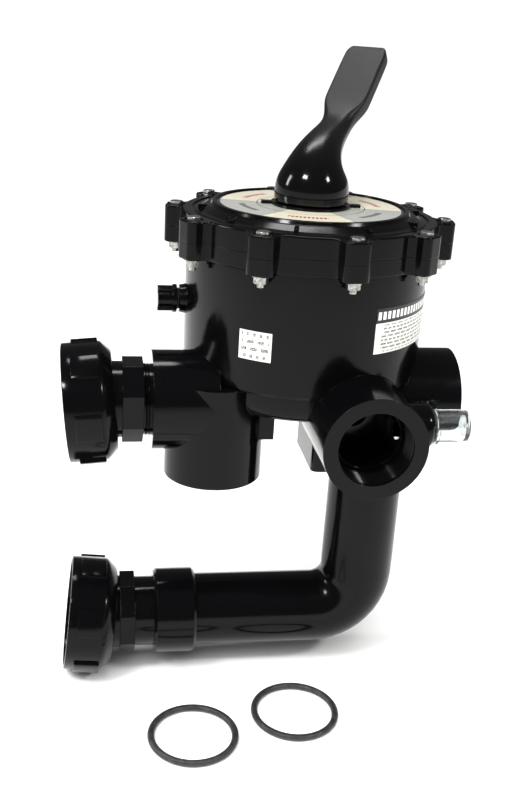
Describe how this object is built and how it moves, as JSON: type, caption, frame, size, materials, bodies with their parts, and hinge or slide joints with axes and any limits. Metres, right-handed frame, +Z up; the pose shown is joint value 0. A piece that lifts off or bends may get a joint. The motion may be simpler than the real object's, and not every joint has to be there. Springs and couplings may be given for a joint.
{
  "type": "multiport valve",
  "caption": "Side-mount filter valve with a lever selector under a bolted lug cover, screwed ports, loose union nuts and an L-shaped lower pipe.",
  "frame": {"origin": "centre of the sealing face of the upper union's tailpiece", "axes": "+Z up along the selector stem, -X out of the two filter unions, -Y out of the front port"},
  "size_m": [0.3335, 0.3094, 0.5396],
  "materials": {
    "black_abs": "moulded gloss",
    "black_grained_abs": "fine grain",
    "stainless_steel": "machined",
    "grey_rubber": "matte",
    "clear_plastic": "clear",
    "dial_foil": "printed foil",
    "white_label": "paper label",
    "white_acetal": "turned",
    "grey_noryl": "moulded"
  },
  "bodies": {
    "valve": {"valve_body": "black_abs", "cover": "black_abs", "cover_o_ring": "grey_rubber", "cover_bolts": "stainless_steel", "top_washers": "stainless_steel", "bottom_washers": "stainless_steel", "cover_nuts": "stainless_steel", "position_dial": "dial_foil", "slip_washer": "white_acetal", "spider_gasket": "grey_rubber", "upper_tailpiece": "black_abs", "lower_pipe": "black_abs", "pipe_collar": "black_abs", "lower_tailpiece": "black_abs", "serial_label": "white_label", "notice_label": "white_label"},
    "selector": {"pointer_plate": "black_abs", "rotor_spring": "stainless_steel"},
    "stem": {"stem": "grey_noryl", "stem_o_rings": "grey_rubber", "rotor": "grey_noryl", "handle_pin": "stainless_steel"},
    "handle": {"handle": "black_grained_abs"},
    "upper_nut": {"upper_union_nut": "black_abs"},
    "lower_nut": {"lower_union_nut": "black_abs"},
    "gauge_ring": {"gauge_plug_o_ring": "grey_rubber"},
    "gauge_plug": {"gauge_plug": "black_abs"},
    "sight_ring": {"sight_glass_o_ring": "grey_rubber"},
    "sight_glass": {"sight_glass": "clear_plastic"},
    "ring_left": {"union_ring_left": "grey_rubber"},
    "ring_right": {"union_ring_right": "grey_rubber"}
  },
  "joints": [
    {"name": "selector_turn", "type": "hinge", "parent": "valve", "child": "selector", "pos_m": [0.194, 0.04, 0.1601], "axis": [0, 0, 1], "continuous": true},
    {"name": "rotor_lift", "type": "slide", "parent": "selector", "child": "stem", "axis": [0, 0, 1], "range_m": [0, 0.008], "deforming": ["rotor_spring"]},
    {"name": "handle_press", "type": "hinge", "parent": "stem", "child": "handle", "pos_m": [0.194, 0.04, 0.1781], "axis": [-0.829, 0.5592, 0], "range_deg": [0, 38], "stiffness_Nm_per_rad": 1, "springref_deg": -57.3},
    {"name": "upper_nut_turn", "type": "hinge", "parent": "valve", "child": "upper_nut", "pos_m": [0.013, 0, -0.0018], "axis": [-0.9962, 0, -0.0872], "continuous": true},
    {"name": "lower_nut_turn", "type": "hinge", "parent": "valve", "child": "lower_nut", "pos_m": [0.013, 0, -0.204], "axis": [-0.9954, 0, 0.0958], "continuous": true},
    {"name": "gauge_plug_travel", "type": "slide", "parent": "valve", "child": "gauge_ring", "axis": [-1, 0, 0], "range_m": [0, 0.015]},
    {"name": "gauge_plug_unscrew", "type": "hinge", "parent": "gauge_ring", "child": "gauge_plug", "pos_m": [0.084, 0.04, 0.076], "axis": [-1, 0, 0], "range_deg": [0, 2700]},
    {"name": "sight_glass_travel", "type": "slide", "parent": "valve", "child": "sight_ring", "axis": [1, 0, 0], "range_m": [0, 0.032]},
    {"name": "sight_glass_unscrew", "type": "hinge", "parent": "sight_ring", "child": "sight_glass", "pos_m": [0.281, -0.072, 0.0045], "axis": [1, 0, 0], "range_deg": [0, 5760]},
    {"name": "left_ring_lift", "type": "slide", "parent": "valve", "child": "ring_left", "axis": [0, -0.9848, 0.1736], "range_m": [0, 0.12]},
    {"name": "right_ring_lift", "type": "slide", "parent": "valve", "child": "ring_right", "axis": [0, -0.9848, 0.1736], "range_m": [0, 0.12]}
  ],
  "couplings": [
    {"joint": "rotor_lift", "follows": "handle_press", "m_per_rad": 0.012062},
    {"joint": "gauge_plug_unscrew", "follows": "gauge_plug_travel", "rad_per_m": 3141.6},
    {"joint": "sight_glass_unscrew", "follows": "sight_glass_travel", "rad_per_m": 3141.6}
  ]
}
